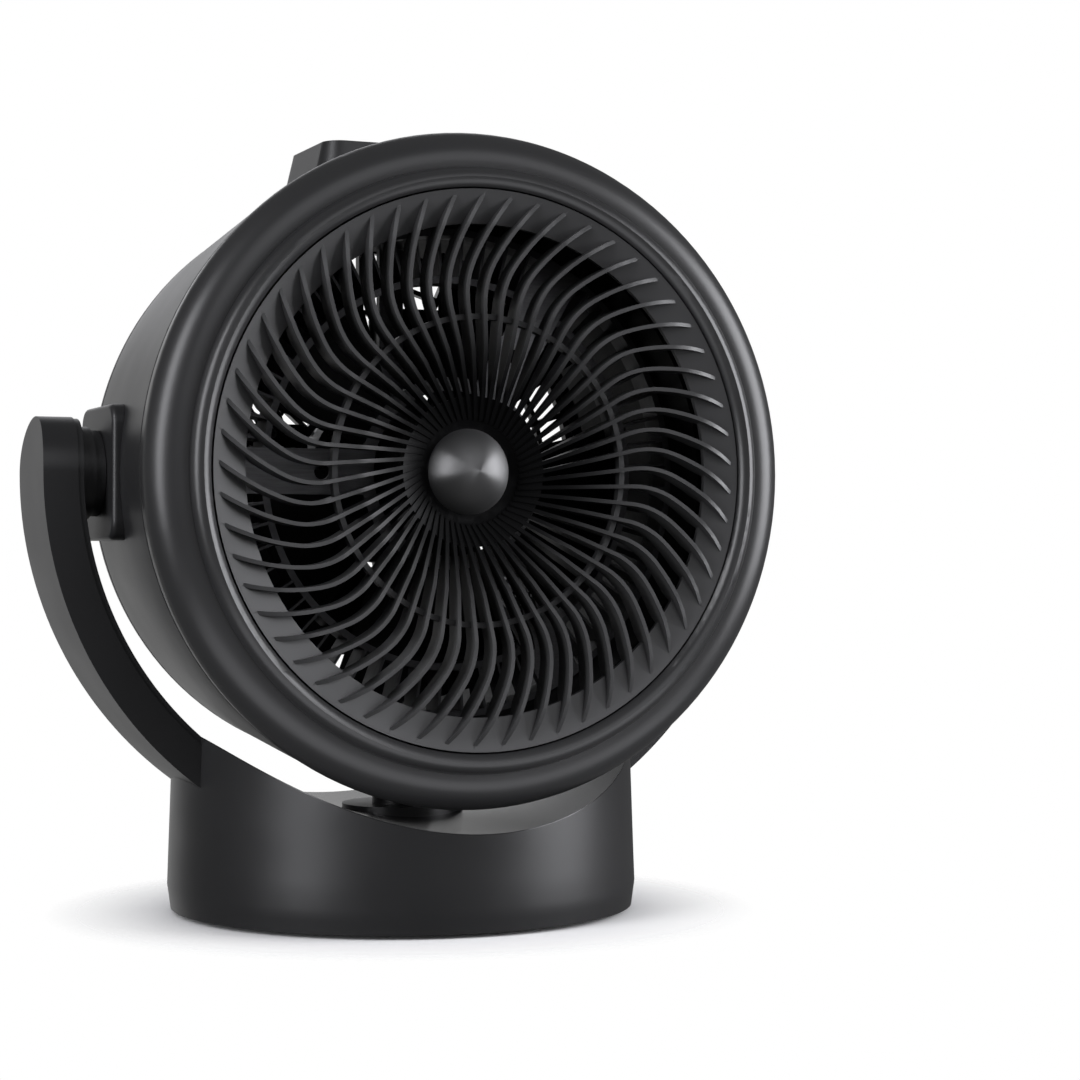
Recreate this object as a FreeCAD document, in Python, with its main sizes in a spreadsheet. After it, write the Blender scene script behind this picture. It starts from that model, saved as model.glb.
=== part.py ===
import FreeCAD, Part
import math
import os
import re
import Sketcher
from FreeCAD import Placement, Rotation, Vector

doc = FreeCAD.newDocument("fan_heater")

# Driving dimensions in millimetres and degrees, grouped by assembly
size_groups = {
    "stand": {
        "saddle_height": 44.5,
        "yoke_clear": 8.9,
        "yoke_thick": 18.0,
        "strip_thick": 2.6,
        "strip_reveal": 0.7,
        "arm_width": 50.0,
        "base_wide_radius": 109.0,
        "base_foot_inset": 1.5,
        "base_top_inset": 2.6,
        "base_lift": 2.0,
        "base_bevel": 13.0,
        "base_wall": 3.0,
        "saddle_skin": 3.6,
        "boss_radius": 20.8,
        "boss_neck_radius": 19.2,
        "boss_neck": 4.5,
        "cap_flange_radius": 28.0,
        "cap_flange_height": 4.4,
        "cap_post_radius": 14.0,
        "cap_post_height": 9.5,
        "gland_height": 24.0,
        "gland_radius": 5.6,
        "gland_flange_radius": 8.6,
        "gland_inside": 2.4,
        "gland_bore": 3.4,
    },
    "foot": {
        "foot_clear": 3.5,
        "foot_lift": 1.2,
        "foot_thick": 3.0,
        "foot_rim": 7.0,
        "foot_rim_wall": 3.0,
        "spindle_radius": 14.0,
        "spindle_clear": 9.5,
        "hub_wall": 4.0,
        "hub_bottom": 10.0,
        "pad_radius": 8.0,
        "pad_inset": 17.0,
        "pad_recess": 0.9,
    },
    "head": {
        "front_reach": 109.0,
        "seam_depth": 28.0,
        "seam_gap": 1.2,
        "drum_step": 1.4,
        "drum_taper": 10.2,
        "drum_back": 45.0,
        "drum_wall": 3.0,
        "spigot": 6.0,
        "bezel_wide_radius": 147.6,
        "bezel_wide_depth": 17.0,
        "bezel_crest": 4.0,
        "groove_reach": 8.8,
        "groove_depth": 5.2,
        "bezel_width": 25.2,
        "bezel_lip": 12.0,
        "bezel_wall": 3.0,
        "side_pad_width": 60.0,
        "side_pad_corner": 9.0,
        "side_pad_round": 2.2,
        "side_pad_set": 2.4,
        "pin_radius": 9.0,
    },
    "grille": {
        "grille_gap": 0.8,
        "flange_depth": 3.4,
        "flange_width": 14.8,
        "flange_dish": 3.6,
        "flange_thick": 2.4,
        "rib_count": 57,
        "rib_thick": 1.7,
        "rib_depth": 10.0,
        "rib_tip_inset": 2.6,
        "rib_bend_radius": 74.4,
        "rib_root_radius": 22.5,
        "rib_root_lean": 5.7,
        "rib_bend_bow": 34.0,
        "rib_bend_turn": 28.0,
        "rib_tip_bow": 90.0,
        "ring_radius": 67.0,
        "ring_width": 2.4,
        "ring_thick": 4.0,
        "hub_cup_radius": 33.0,
        "hub_cup_wall": 2.4,
        "hub_depth": 18.0,
        "hub_cup_height": 9.0,
        "hub_rib_rise": 1.0,
        "dome_radius": 19.0,
        "dome_height": 13.5,
    },
    "air path": {
        "duct_inset": 12.0,
        "duct_wall": 2.4,
        "duct_front": 19.0,
        "heater_clear": 13.0,
        "heater_depth": 15.0,
        "heater_band": 3.0,
        "heater_width": 24.6,
        "fin_count": 60,
        "fin_thick": 1.2,
        "frame_thick": 1.6,
        "frame_ring": 37.0,
        "frame_ring_width": 6.0,
        "frame_arm_width": 20.0,
        "frame_hole": 3.5,
        "motor_radius": 36.0,
        "motor_length": 55.0,
        "motor_clear": 4.0,
        "bracket_set": 16.0,
        "bracket_thick": 4.0,
        "bracket_collar": 4.0,
        "bracket_arm_width": 12.0,
    },
    "fan": {
        "fan_tip_gap": 7.6,
        "fan_hub_radius": 26.0,
        "fan_clear": 6.0,
        "fan_depth": 28.0,
        "blade_count": 5,
        "blade_phase": 12.0,
        "blade_thick": 2.4,
        "blade_root_chord": 30.0,
        "blade_tip_chord": 106.0,
        "blade_root_pitch": 38.0,
        "blade_tip_pitch": 15.0,
        "shaft_radius": 4.0,
        "nut_radius": 9.0,
        "nut_height": 8.0,
    },
    "rear": {
        "rear_back": 63.0,
        "rear_face": 20.0,
        "rear_wall": 3.0,
        "rear_bar": 2.4,
        "rear_bars": 30,
        "rear_rows": 5,
        "rear_grille_thick": 5.0,
        "rear_disc_radius": 38.0,
        "rear_rim": 3.6,
    },
    "controls": {
        "box_front": 22.0,
        "box_height": 153.0,
        "box_lean": 7.0,
        "box_side": 5.9,
        "box_round": 9.0,
        "panel_ends": 8.5,
        "panel_sink": 1.0,
        "panel_thick": 2.2,
        "key_room": 4.4,
        "key_radius": 5.2,
        "key_power_radius": 6.4,
        "key_rise": 0.8,
        "key_collar": 1.2,
        "key_collar_thick": 1.0,
        "lens_width": 32.0,
        "lens_length": 4.0,
    },
    "fits": {
        "seat_gap": 0.3,
        "running_gap": 0.06,
        "slide_gap": 0.3,
    },
    "worked out": {
        "base_foot_radius": "=base_wide_radius - base_foot_inset",
        "base_top_radius": "=base_wide_radius - base_top_inset",
        "foot_radius": "=base_foot_radius - base_wall - foot_clear",
        "pad_circle": "=foot_radius - pad_inset",
        "yoke_inner": "=bezel_wide_radius + yoke_clear",
        "pivot_height": "=saddle_height + yoke_inner",
        "spindle_top": "=saddle_height - spindle_clear",
        "drum_front_radius": "=bezel_wide_radius - drum_step",
        "drum_rear_radius": "=drum_front_radius - drum_taper",
        "bezel_opening": "=bezel_wide_radius - bezel_width",
        "bezel_crest_radius": "=bezel_opening + bezel_crest",
        "groove_radius": "=bezel_opening + groove_reach",
        "side_pad_face": "=bezel_wide_radius - side_pad_set",
        "flange_radius": "=bezel_opening - grille_gap",
        "flange_inner": "=flange_radius - flange_width",
        "rib_tip_radius": "=flange_radius - rib_tip_inset",
        "duct_radius": "=flange_radius - duct_inset",
        "heater_inner": "=duct_radius - heater_width",
        "fan_radius": "=duct_radius - fan_tip_gap",
        "rear_opening": "=drum_rear_radius - rear_face",
        "drum_end": "=front_reach + drum_back",
        "rear_end": "=front_reach + rear_back",
        "motor_end": "=rear_end - rear_grille_thick - motor_clear",
        "motor_front": "=motor_end - motor_length",
        "bracket_depth": "=motor_front + bracket_set",
        "duct_end": "=bracket_depth + 4 * bracket_thick",
        "fan_front": "=motor_front - fan_clear - fan_depth",
        "heater_front": "=fan_front - heater_clear - heater_depth",
        "box_rear": "=drum_back - seam_gap - box_lean",
        "box_length": "=box_front + box_rear",
        "key_pitch": "=key_radius + key_power_radius + 2 * key_collar + 2 * slide_gap",
        "panel_width": "=4 * key_pitch + 2 * (key_radius + key_collar + slide_gap + panel_thick)",
        "panel_length": "=box_length - 2 * panel_ends",
        "box_width": "=panel_width + 2 * box_side",
    },
}

sheet = doc.addObject("Spreadsheet::Sheet", "sizes")
aliases = []
row = 1
for group, values in size_groups.items():
    sheet.set(f"A{row}", group)
    row += 1
    for alias, value in values.items():
        sheet.set(f"A{row}", alias.replace("_", " "))
        sheet.set(f"B{row}", str(value))
        sheet.setAlias(f"B{row}", alias)
        aliases.append(alias)
        row += 1
doc.recompute()

nodes = {}


def size(alias):
    return float(sheet.get(alias))


def formula(text):
    """Point each size named in a text at its cell."""
    def point(match):
        word = match.group(0)
        return f"sizes.{word}" if word in aliases else word
    return re.sub(r"[a-z][a-z0-9_]*", point, str(text))


def value(text):
    """The number that a formula gives now."""
    result = sheet.evalExpression(formula(text))
    return float(getattr(result, "Value", result))


def bind(thing, **formulas):
    for prop, text in formulas.items():
        thing.setExpression(prop.replace("__", "."), formula(text))


def place(thing, x=None, y=None, z=None, turn=None):
    """Put an object at bound coordinates with a fixed turn."""
    thing.Placement = Placement(Vector(0, 0, 0), turn or Rotation())
    for axis, text in (("x", x), ("y", y), ("z", z)):
        if text is not None:
            thing.setExpression(f"Placement.Base.{axis}", formula(text))


def node(thing, name):
    thing.Label = name
    nodes[name] = thing
    return thing


along_x = Rotation(Vector(0, 1, 0), 90)
along_minus_x = Rotation(Vector(0, 1, 0), -90)
along_y = Rotation(Vector(1, 0, 0), -90)


def cylinder(name, radius, length, x=None, y=None, z=None, turn=None):
    body = doc.addObject("Part::Cylinder", name)
    bind(body, Radius=radius, Height=length)
    place(body, x, y, z, turn)
    return body


def box(name, length, width, height, x=None, y=None, z=None):
    body = doc.addObject("Part::Box", name)
    bind(body, Length=length, Width=width, Height=height)
    place(body, x, y, z)
    return body


def cut(name, base, tool):
    result = doc.addObject("Part::Cut", name)
    result.Base = base
    result.Tool = tool
    return result


def common(name, base, tool):
    result = doc.addObject("Part::Common", name)
    result.Base = base
    result.Tool = tool
    return result


def fuse(name, *shapes):
    result = doc.addObject("Part::MultiFuse", name)
    result.Shapes = list(shapes)
    result.Refine = False
    return result


def new_body(name, x=None, y=None, z=None, turn=None):
    body = doc.addObject("PartDesign::Body", name)
    place(body, x, y, z, turn)
    return body


def head_body(name):
    """A body on the head's axis: its Z runs back from the bezel's front."""
    return new_body(name, y="-front_reach", z="pivot_height", turn=along_y)


def origin_plane(body, role):
    for feature in body.Origin.OriginFeatures:
        if feature.Role == role:
            return feature


def new_sketch(body, name, role="XZ_Plane", lift=None):
    sketch = body.newObject("Sketcher::SketchObject", name)
    sketch.AttachmentSupport = [(origin_plane(body, role), "")]
    sketch.MapMode = "FlatFace"
    if lift is not None:
        sketch.setExpression("AttachmentOffset.Base.z", formula(lift))
    return sketch


def pin_point(sketch, geometry, end, across, up):
    """Hold a sketch point at bound distances from the origin."""
    for kind, text, axis in (("DistanceX", across, -2), ("DistanceY", up, -1)):
        reach = value(text)
        if abs(reach) < 1e-9:
            sketch.addConstraint(Sketcher.Constraint("PointOnObject", geometry, end, axis))
        elif reach > 0:
            index = sketch.addConstraint(
                Sketcher.Constraint(kind, -1, 1, geometry, end, reach))
            sketch.setExpression(f"Constraints[{index}]", formula(text))
        else:
            index = sketch.addConstraint(
                Sketcher.Constraint(kind, geometry, end, -1, 1, -reach))
            sketch.setExpression(f"Constraints[{index}]", formula(f"-({text})"))


def outline(sketch, corners):
    """Draw a closed outline.

    The outline keeps its solid on the left. A corner is (across, up), or
    (across, up, radius) when an arc bowed outward leads to the next corner.
    """
    points = [Vector(value(c[0]), value(c[1]), 0) for c in corners]
    ends = []
    for i, corner in enumerate(corners):
        here, there = points[i], points[(i + 1) % len(points)]
        if len(corner) == 2:
            geometry = sketch.addGeometry(Part.LineSegment(here, there))
            ends.append((geometry, 1, 2))
            continue
        radius = value(corner[2])
        chord = there - here
        middle = (here + there) * 0.5
        normal = Vector(-chord.y, chord.x, 0).normalize()
        reach = abs(radius)
        sag = reach - math.sqrt(max(reach**2 - (chord.Length / 2)**2, 0))
        crown = middle - normal * math.copysign(sag, radius)
        geometry = sketch.addGeometry(Part.Arc(here, crown, there))
        first = sketch.getPoint(geometry, 1)
        turned = (first - here).Length > (first - there).Length
        ends.append((geometry, 2, 1) if turned else (geometry, 1, 2))
        index = sketch.addConstraint(Sketcher.Constraint("Radius", geometry, reach))
        sketch.setExpression(f"Constraints[{index}]", formula(f"abs({corner[2]})"))
    for i, (geometry, start, end) in enumerate(ends):
        following, following_start, _ = ends[(i + 1) % len(ends)]
        sketch.addConstraint(
            Sketcher.Constraint("Coincident", geometry, end, following, following_start))
    for corner, (geometry, start, _) in zip(corners, ends):
        pin_point(sketch, geometry, start, corner[0], corner[1])


def circles(sketch, rows):
    """Draw circles given as (across, up, radius)."""
    for across, up, radius in rows:
        centre = Vector(value(across), value(up), 0)
        geometry = sketch.addGeometry(Part.Circle(centre, Vector(0, 0, 1), value(radius)))
        index = sketch.addConstraint(Sketcher.Constraint("Radius", geometry, value(radius)))
        sketch.setExpression(f"Constraints[{index}]", formula(radius))
        pin_point(sketch, geometry, 3, across, up)


def rectangle(sketch, width, length, middle="0"):
    outline(sketch, [
        (f"-({width}) / 2", f"{middle} - ({length}) / 2"),
        (f"({width}) / 2", f"{middle} - ({length}) / 2"),
        (f"({width}) / 2", f"{middle} + ({length}) / 2"),
        (f"-({width}) / 2", f"{middle} + ({length}) / 2"),
    ])


def rounded_rectangle(sketch, width, length, corner):
    across, up = f"(({width}) / 2)", f"(({length}) / 2)"
    outline(sketch, [
        (f"-({across} - {corner})", f"-{up}"),
        (f"{across} - {corner}", f"-{up}", corner),
        (across, f"-({up} - {corner})"),
        (across, f"{up} - {corner}", corner),
        (f"{across} - {corner}", up),
        (f"-({across} - {corner})", up, corner),
        (f"-{across}", f"{up} - {corner}"),
        (f"-{across}", f"-({up} - {corner})", corner),
    ])


def round_rim(body, feature, height, radius):
    """Round the edges of a feature that lie at one height of its body."""
    doc.recompute()
    names = []
    for i, edge in enumerate(feature.Shape.Edges):
        if all(abs(v.Point.z - value(height)) < 0.01 for v in edge.Vertexes):
            names.append(f"Edge{i + 1}")
    rim = body.newObject("PartDesign::Fillet", feature.Name + "_rim")
    rim.Base = (feature, names)
    bind(rim, Radius=radius)
    return rim


def turned(body, corners):
    """Revolve an outline of (radius, height) corners about the body's Z."""
    sketch = new_sketch(body, body.Name + "_profile")
    outline(sketch, corners)
    revolve = body.newObject("PartDesign::Revolution", body.Name + "_turn")
    revolve.Profile = sketch
    revolve.ReferenceAxis = (sketch, ["V_Axis"])
    revolve.Angle = 360.0
    return body


def pad(body, sketch, length, downward=False):
    feature = body.newObject("PartDesign::Pad", sketch.Name + "_pad")
    feature.Profile = sketch
    feature.Reversed = downward
    bind(feature, Length=length)
    return feature


def pocket(body, sketch, length, upward=True):
    """Cut a sketch into its body, above the sketch plane or below it."""
    feature = body.newObject("PartDesign::Pocket", sketch.Name + "_cut")
    feature.Profile = sketch
    feature.Reversed = upward
    bind(feature, Length=length)
    return feature


def polar(body, features, count):
    pattern = body.newObject("PartDesign::PolarPattern", features[0].Name + "_ring")
    pattern.Originals = features
    pattern.Axis = (features[0].Profile[0], ["N_Axis"])
    pattern.Angle = 360.0
    bind(pattern, Occurrences=count)
    body.Tip = pattern
    return pattern


# Foot: a disc with a rim and a spindle, on four rubber pads
foot = turned(new_body("foot_disc"), [
    (0, "foot_lift"),
    ("foot_radius", "foot_lift"),
    ("foot_radius", "foot_lift + foot_rim"),
    ("foot_radius - foot_rim_wall", "foot_lift + foot_rim"),
    ("foot_radius - foot_rim_wall", "foot_lift + foot_thick"),
    ("spindle_radius + hub_wall", "foot_lift + foot_thick"),
    ("spindle_radius + hub_wall", "hub_bottom - seat_gap"),
    ("spindle_radius", "hub_bottom - seat_gap"),
    ("spindle_radius", "spindle_top"),
    (0, "spindle_top"),
])
recess_sketch = new_sketch(foot, "pad_recess_circle", "XY_Plane", "foot_lift")
circles(recess_sketch, [("pad_circle", 0, "pad_radius + running_gap")])
polar(foot, [pocket(foot, recess_sketch, "pad_recess")], 4)
node(foot, "foot_plate")

for i in range(4):
    pad_piece = cylinder(
        f"rubber_{i + 1}", "pad_radius", "foot_lift + pad_recess",
        x=f"pad_circle * cos({90 * i})", y=f"pad_circle * sin({90 * i})")
    node(pad_piece, f"foot_pad_{i + 1}")

# Base: tapered drum under a saddle that follows the yoke's inner circle
saddle_corner = "pivot_height - sqrt(yoke_inner^2 - base_top_radius^2)"
base_top = f"{saddle_corner} + saddle_skin"
base_outer = turned(new_body("base_outer"), [
    (0, "base_lift"),
    ("base_foot_radius", "base_lift"),
    ("base_wide_radius", "base_bevel"),
    ("base_top_radius", base_top),
    (0, base_top),
])
base_inner = turned(new_body("base_inner"), [
    (0, "base_lift - base_wall"),
    ("base_foot_radius - base_wall", "base_lift - base_wall"),
    ("base_wide_radius - base_wall", "base_bevel"),
    ("base_top_radius - base_wall", f"{base_top} + base_wall"),
    (0, f"{base_top} + base_wall"),
])


def yoke_disc(name, radius, width):
    """A disc about the yoke's axis, which runs front to back at the pivot."""
    return cylinder(name, radius, width, y=f"-({width}) / 2", z="pivot_height", turn=along_y)


saddle = yoke_disc("saddle_disc", "yoke_inner", "3 * base_wide_radius")
saddle_under = yoke_disc("saddle_under", "yoke_inner + saddle_skin", "3 * base_wide_radius")
base_form = cut("base_form", base_outer, saddle)
base_hollow = cut("base_hollow", base_inner, saddle_under)
base_walls = cut("base_walls", base_form, base_hollow)
swing_hub = cylinder(
    "swing_hub", "spindle_radius + hub_wall",
    "pivot_height - yoke_inner - saddle_skin / 2 - hub_bottom", z="hub_bottom")
swing_bore = cylinder(
    "swing_bore", "spindle_radius + running_gap",
    "spindle_top + seat_gap - hub_bottom + hub_wall", z="hub_bottom - hub_wall")
gland_hole = cylinder(
    "gland_hole", "gland_radius + running_gap", "base_wide_radius",
    y="base_wide_radius / 2", z="gland_height", turn=along_y)
base_solid = fuse("base_solid", base_walls, swing_hub)
base_bored = cut("base_bored", base_solid, swing_bore)
node(cut("base_shell_cut", base_bored, gland_hole), "base_shell")

gland_start = "base_wide_radius - base_wall - gland_inside"
gland_sleeve = cylinder(
    "gland_sleeve", "gland_radius", "base_wall + gland_inside",
    y=gland_start, z="gland_height", turn=along_y)
gland_disc = cylinder(
    "gland_disc", "gland_flange_radius", "base_wall + gland_inside",
    y=gland_start, z="gland_height", turn=along_y)
gland_collar = cut("gland_collar", gland_disc, base_outer)
gland_bore = cylinder(
    "gland_bore", "gland_bore", "base_wide_radius", y="base_wide_radius / 2",
    z="gland_height", turn=along_y)
gland_solid = fuse("gland_solid", gland_sleeve, gland_collar)
node(cut("gland_cut", gland_solid, gland_bore), "cord_gland")

# Cap of the swing axle, dished to sit in the saddle
cap_base = "pivot_height - yoke_inner"
cap_disc = cylinder(
    "cap_disc", "cap_flange_radius", "cap_flange_height + saddle_skin", z=f"{cap_base} - saddle_skin")
cap_post = cylinder("cap_post", "cap_post_radius", "cap_post_height + saddle_skin",
                    z=f"{cap_base} - saddle_skin")
cap_solid = fuse("cap_solid", cap_disc, cap_post)
node(common("cap_seated", cap_solid, saddle), "axle_cap")

# Yoke arms: a ring slice with a round top, closed inside by a cover strip
yoke_outer = "(yoke_inner + yoke_thick)"
strip_outer = "(yoke_inner + strip_thick)"
strip_width = "(arm_width - 2 * strip_reveal)"
arm_disc = yoke_disc("arm_disc", yoke_outer, "arm_width")
arm_hole = yoke_disc("arm_hole", strip_outer, "2 * arm_width")
arm_ring = cut("arm_ring", arm_disc, arm_hole)
strip_disc = yoke_disc("strip_disc", strip_outer, strip_width)
strip_hole = yoke_disc("strip_hole", "yoke_inner", "2 * arm_width")
strip_ring = cut("strip_ring", strip_disc, strip_hole)


def arm_side(name, width, sign):
    """The straight-sided, round-topped slab that one arm is cut from."""
    inner = "(base_top_radius / 2)"
    depth = f"({yoke_outer} - {inner})"
    start = inner if sign > 0 else f"-{yoke_outer}"
    end_round = cylinder(f"{name}_round", f"{width} / 2", depth, x=start, z="pivot_height",
                         turn=along_x)
    shank = box(f"{name}_shank", depth, width, "pivot_height", x=start, y=f"-{width} / 2")
    return fuse(f"{name}_slab", end_round, shank)


boss_start = "side_pad_face + seat_gap"
for side, sign in (("left", -1), ("right", 1)):
    arm_slab = arm_side(f"arm_{side}", "arm_width", sign)
    arm_piece = common(f"arm_{side}_slice", arm_ring, arm_slab)
    node(cut(f"arm_{side}_cut", arm_piece, base_outer), f"yoke_arm_{side}")

    strip_slab = arm_side(f"strip_{side}", strip_width, sign)
    strip_piece = common(f"strip_{side}_slice", strip_ring, strip_slab)
    node(cut(f"strip_{side}_cut", strip_piece, base_outer), f"yoke_strip_{side}")

    boss = turned(new_body(f"boss_{side}", z="pivot_height",
                           turn=along_x if sign > 0 else along_minus_x), [
        ("pin_radius + running_gap", boss_start),
        ("boss_neck_radius", boss_start),
        ("boss_neck_radius", f"{boss_start} + boss_neck"),
        ("boss_radius", f"{boss_start} + boss_neck"),
        ("boss_radius", "yoke_inner + strip_thick"),
        ("pin_radius + running_gap", "yoke_inner + strip_thick"),
    ])
    node(common(f"boss_{side}_seat", boss, strip_hole), f"pivot_boss_{side}")

# Drum shell: tapered tube with a spigot that the bezel slips over
drum_start = "seam_depth + seam_gap"
drum_form = turned(head_body("drum_form"), [
    (0, drum_start),
    ("drum_front_radius", drum_start),
    ("drum_rear_radius", "drum_end"),
    (0, "drum_end"),
])
spigot_radius = "drum_front_radius - drum_wall - seat_gap"
drum = turned(head_body("drum_tube"), [
    (f"{spigot_radius} - drum_wall", "seam_depth - spigot"),
    (spigot_radius, "seam_depth - spigot"),
    (spigot_radius, drum_start),
    ("drum_front_radius", drum_start),
    ("drum_rear_radius", "drum_end"),
    ("drum_rear_radius - drum_wall", "drum_end"),
    (f"{spigot_radius} - drum_wall", f"{drum_start} + 2 * spigot"),
])
node(drum, "drum_shell")

# Bezel: an inner crest and a wide rounded shoulder, with a groove between
bezel = turned(head_body("bezel"), [
    ("bezel_opening", "bezel_lip"),
    ("bezel_opening", "flange_depth", "0.8 * (bezel_crest_radius - bezel_opening + flange_depth)"),
    ("bezel_crest_radius", 0, "1.1 * groove_depth"),
    ("groove_radius", "groove_depth", "0.85 * (bezel_wide_radius - groove_radius)"),
    ("bezel_wide_radius", "bezel_wide_depth"),
    ("drum_front_radius", "seam_depth"),
    ("drum_front_radius - bezel_wall", "seam_depth"),
    ("bezel_wide_radius - bezel_wall", "bezel_wide_depth"),
    ("groove_radius", "groove_depth + bezel_wall"),
    ("bezel_opening + bezel_wall", "groove_depth + bezel_wall"),
    ("bezel_opening + bezel_wall", "bezel_lip"),
])
node(bezel, "bezel_ring")

# Side pads with the tilt pins, cut to sit on the tapered drum
for side, turn in (("left", along_minus_x), ("right", along_x)):
    pad_start = "drum_rear_radius - side_pad_width / 2"
    side_pad = new_body(f"side_pad_{side}_form", z="pivot_height", turn=turn)
    pad_sketch = new_sketch(side_pad, f"side_pad_{side}_outline", "XY_Plane", pad_start)
    rounded_rectangle(pad_sketch, "side_pad_width", "side_pad_width", "side_pad_corner")
    pad_block = pad(side_pad, pad_sketch, f"side_pad_face - ({pad_start})")
    round_rim(side_pad, pad_block, "side_pad_face", "side_pad_round")
    pin_sketch = new_sketch(side_pad, f"tilt_pin_{side}", "XY_Plane", "side_pad_face")
    circles(pin_sketch, [(0, 0, "pin_radius")])
    pad(side_pad, pin_sketch, "yoke_inner - seat_gap - side_pad_face")
    node(cut(f"side_pad_{side}_seat", side_pad, drum_form), f"side_pad_{side}")

# Air duct: a flange behind the bezel and the tube round heater and fan
duct = turned(head_body("duct"), [
    ("duct_radius", "duct_front"),
    (f"{spigot_radius} - drum_wall - seat_gap", "duct_front"),
    (f"{spigot_radius} - drum_wall - seat_gap", "duct_front + 2 * duct_wall"),
    ("duct_radius + duct_wall", "duct_front + 2 * duct_wall"),
    ("duct_radius + duct_wall", "duct_end"),
    ("duct_radius", "duct_end"),
])
node(duct, "air_duct")

# Front grille: flange, ring and hub cup, joined by swept ribs
flange = turned(head_body("grille_flange"), [
    ("flange_radius", "flange_depth"),
    ("flange_radius", "bezel_lip"),
    ("flange_radius - flange_thick", "bezel_lip"),
    ("flange_radius - flange_thick", "flange_depth + flange_thick"),
    ("flange_inner", "flange_depth + flange_dish + flange_thick"),
    ("flange_inner", "flange_depth + flange_dish"),
])
ring_front = "flange_depth + flange_dish + ring_thick / 2"
back_ring = turned(head_body("grille_ring"), [
    ("ring_radius - ring_width / 2", ring_front),
    ("ring_radius + ring_width / 2", ring_front),
    ("ring_radius + ring_width / 2", f"{ring_front} + ring_thick"),
    ("ring_radius - ring_width / 2", f"{ring_front} + ring_thick"),
])
hub_floor = "hub_depth + hub_cup_height"
hub_cup = turned(head_body("grille_hub"), [
    (0, f"{hub_floor} - hub_cup_wall"),
    ("dome_radius + hub_rib_rise", f"{hub_floor} - hub_cup_wall"),
    ("hub_cup_radius", "hub_depth"),
    ("hub_cup_radius", "hub_depth + 2 * hub_cup_wall"),
    ("dome_radius + hub_rib_rise", hub_floor),
    (0, hub_floor),
])


def rib_outline():
    """One rib seen from the front, pointing up.

    A straight root leans clockwise towards the hub. A tight bend, radial at
    the bend radius, and a wider bow then sweep the tip clockwise too.
    """
    bend = size("rib_bend_radius")
    lean = math.radians(size("rib_root_lean"))
    turn = math.radians(size("rib_bend_turn"))
    bend_bow = size("rib_bend_bow")
    tip_bow = size("rib_tip_bow")
    tip = size("rib_tip_radius")

    def aside(heading):
        return Vector(math.cos(heading), math.sin(heading), 0)

    bend_centre = Vector(bend_bow, -bend, 0)
    tip_centre = bend_centre + aside(turn) * (tip_bow - bend_bow)
    reach = tip_centre.Length
    tip_heading = math.atan2(tip_centre.y, tip_centre.x) + math.acos(
        (reach**2 + tip_bow**2 - tip**2) / (2 * tip_bow * reach))
    root_length = (bend - bend_bow * math.sin(lean) - size("rib_root_radius")) / math.cos(lean)
    inward = Vector(math.sin(lean), math.cos(lean), 0) * root_length

    def arc(centre, bow, first, last):
        middle = (first + last) / 2
        points = [centre - aside(heading) * bow for heading in (first, middle, last)]
        return Part.Arc(*points).toShape()

    edges = []
    ends = []
    for side in (-size("rib_thick") / 2, size("rib_thick") / 2):
        bend_arc = arc(bend_centre, bend_bow - side, -lean, turn)
        tip_arc = arc(tip_centre, tip_bow - side, turn, tip_heading)
        start = bend_centre - aside(-lean) * (bend_bow - side)
        edges += [Part.makeLine(start, start + inward), bend_arc, tip_arc]
        ends.append((start + inward, tip_centre - aside(tip_heading) * (tip_bow - side)))
    for first, last in zip(*ends):
        edges.append(Part.makeLine(first, last))
    return Part.Face(Part.Wire(Part.__sortEdges__(edges)))


def rib_envelope():
    """The dished space that the ribs fill, turned about the head's axis."""
    front = size("flange_depth")
    dish = size("flange_dish")
    deep = size("rib_depth")
    root = size("rib_root_radius") - size("rib_thick")
    tip = size("rib_tip_radius")
    bend = size("rib_bend_radius")
    inner = size("flange_inner")
    edge = size("hub_cup_radius")
    half_way = (bend + edge) / 2
    hub = size("hub_depth") - size("hub_rib_rise")
    half_depth = front + (hub - front) * 0.36
    floor = size("hub_depth") + size("hub_cup_height")
    profile = [
        (tip, front + dish * (size("flange_radius") - tip) / (size("flange_radius") - inner)),
        ((tip + inner) / 2, front - 0.4 * dish),
        (inner, front - 0.6 * dish),
        (bend, front + 0.3 * dish),
        (half_way, half_depth),
        (edge, hub),
        (root, floor - size("hub_cup_wall") - size("hub_rib_rise")),
        (root, floor - size("hub_cup_wall") / 2),
        (edge, hub + size("hub_cup_wall")),
        (half_way, half_depth + deep),
        (bend, front + 0.3 * dish + deep),
        (inner - dish, front + deep),
        (inner + dish, front + dish + size("flange_thick") / 2),
        (tip, front + dish + size("flange_thick") / 2),
    ]
    points = [Vector(radius, 0, depth) for radius, depth in profile]
    wire = Part.makePolygon(points + points[:1])
    return Part.Face(wire).revolve(Vector(0, 0, 0), Vector(0, 0, 1), 360)


rib_height = size("hub_depth") + 2 * size("rib_depth")
rib_strip = rib_outline()
rib_strip.translate(Vector(0, 0, -size("rib_depth")))
rib = rib_strip.extrude(Vector(0, 0, rib_height)).common(rib_envelope())
rib_total = int(size("rib_count"))
ribs = doc.addObject("Part::Feature", "grille_ribs")
ribs.Shape = Part.makeCompound([
    rib.rotated(Vector(0, 0, 0), Vector(0, 0, 1), 360.0 * i / rib_total) for i in range(rib_total)])
place(ribs, y="-front_reach", z="pivot_height", turn=along_y)
node(fuse("front_grille_fused", flange, back_ring, hub_cup, ribs), "front_grille")

# Dome in the hub cup
dome_bow = "(dome_radius^2 + dome_height^2) / (2 * dome_height)"
dome_base = f"{hub_floor} - hub_cup_wall"
dome = turned(head_body("dome"), [
    (0, f"{dome_base} - dome_height", dome_bow),
    ("dome_radius", dome_base),
    (0, dome_base),
])
node(dome, "grille_dome")

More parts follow.
